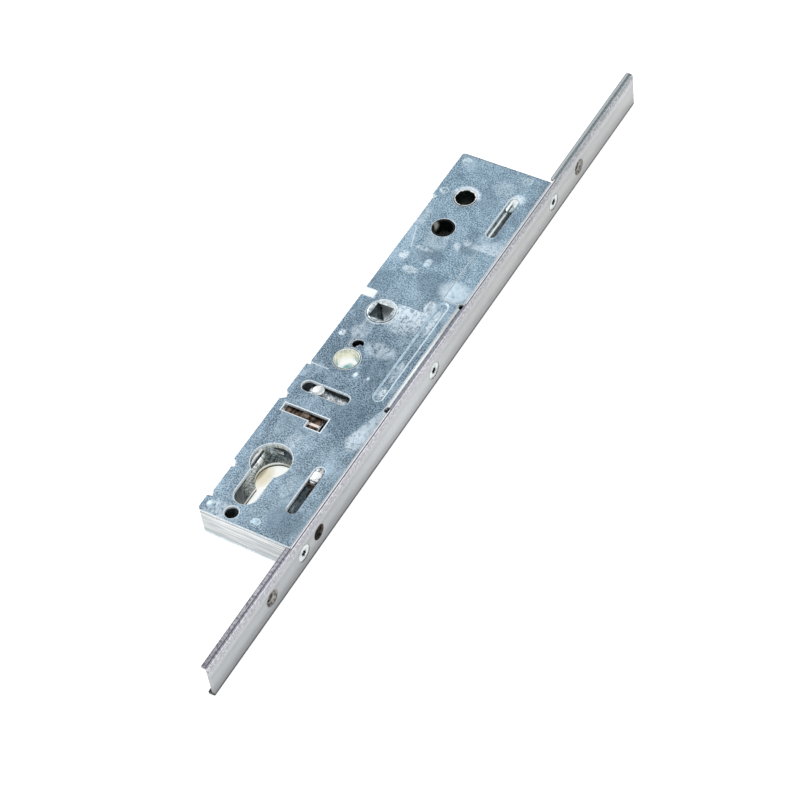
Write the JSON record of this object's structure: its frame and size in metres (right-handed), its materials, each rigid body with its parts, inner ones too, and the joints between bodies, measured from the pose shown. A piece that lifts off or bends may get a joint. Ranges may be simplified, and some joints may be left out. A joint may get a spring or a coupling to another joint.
{
  "type": "multipoint door lock",
  "caption": "Centre case of a multipoint door lock with cylinder bore, handle follower, deadlock slide, drive rail and a channel faceplate",
  "frame": {"origin": "on the axis of the cylinder bore, halfway through the case's thickness", "axes": "+X out of the faceplate's front, +Y up the lock from the cylinder towards the handle, +Z out of the case cover along the cylinder bore"},
  "size_m": [0.049, 0.371, 0.02],
  "materials": {
    "galvanised_sheet": "galvanised sheet, blue-grey with fine speckle and pale smears",
    "satin_steel_strip": "satin grey zinc-plated strip",
    "bright_zinc": "bright zinc plating",
    "zinc_steel": "plain zinc-plated steel",
    "zinc_casting": "cast zinc alloy, matt grey",
    "dark_steel": "dark phosphated steel",
    "black_nylon": "black glossy nylon",
    "spring_steel": "oiled spring steel",
    "brown_spring_steel": "brown tempered spring steel"
  },
  "bodies": {
    "case": {"back_plate": "galvanised_sheet", "case_rim": "galvanised_sheet", "case_cover": "galvanised_sheet", "faceplate": "satin_steel_strip", "faceplate_screws": "bright_zinc", "anchor_blocks": "zinc_steel", "spacer_posts": "galvanised_sheet", "cylinder_cradle": "zinc_casting", "through_bush": "bright_zinc", "handle_bush_upper": "dark_steel", "handle_bush_lower": "black_nylon", "spring_seat": "zinc_steel", "balance_spring": "spring_steel", "detent_block": "zinc_steel", "detent_leaf": "spring_steel", "rail_rivets": "zinc_steel"},
    "drive": {"drive_slide": "zinc_steel", "guide_lugs": "bright_zinc", "drive_rail": "galvanised_sheet", "rail_studs": "zinc_steel"},
    "follower": {"follower": "zinc_casting"},
    "deadlock": {"deadlock_slide": "zinc_steel", "deadlock_pins": "bright_zinc", "deadlock_leaf": "brown_spring_steel"}
  },
  "joints": [
    {"name": "drive_travel", "type": "slide", "parent": "case", "child": "drive", "axis": [0, -1, 0], "range_m": [0, 0.0175], "deforming": ["detent_leaf"]},
    {"name": "follower_turn", "type": "hinge", "parent": "case", "child": "follower", "pos_m": [0, 0.092, 0], "axis": [0, 0, -1], "range_deg": [0, 51.6], "deforming": ["balance_spring"]},
    {"name": "deadlock_travel", "type": "slide", "parent": "case", "child": "deadlock", "axis": [1, 0, 0], "range_m": [0, 0.0085]}
  ],
  "couplings": [
    {"joint": "follower_turn", "follows": "drive_travel", "rad_per_m": 51.282}
  ]
}
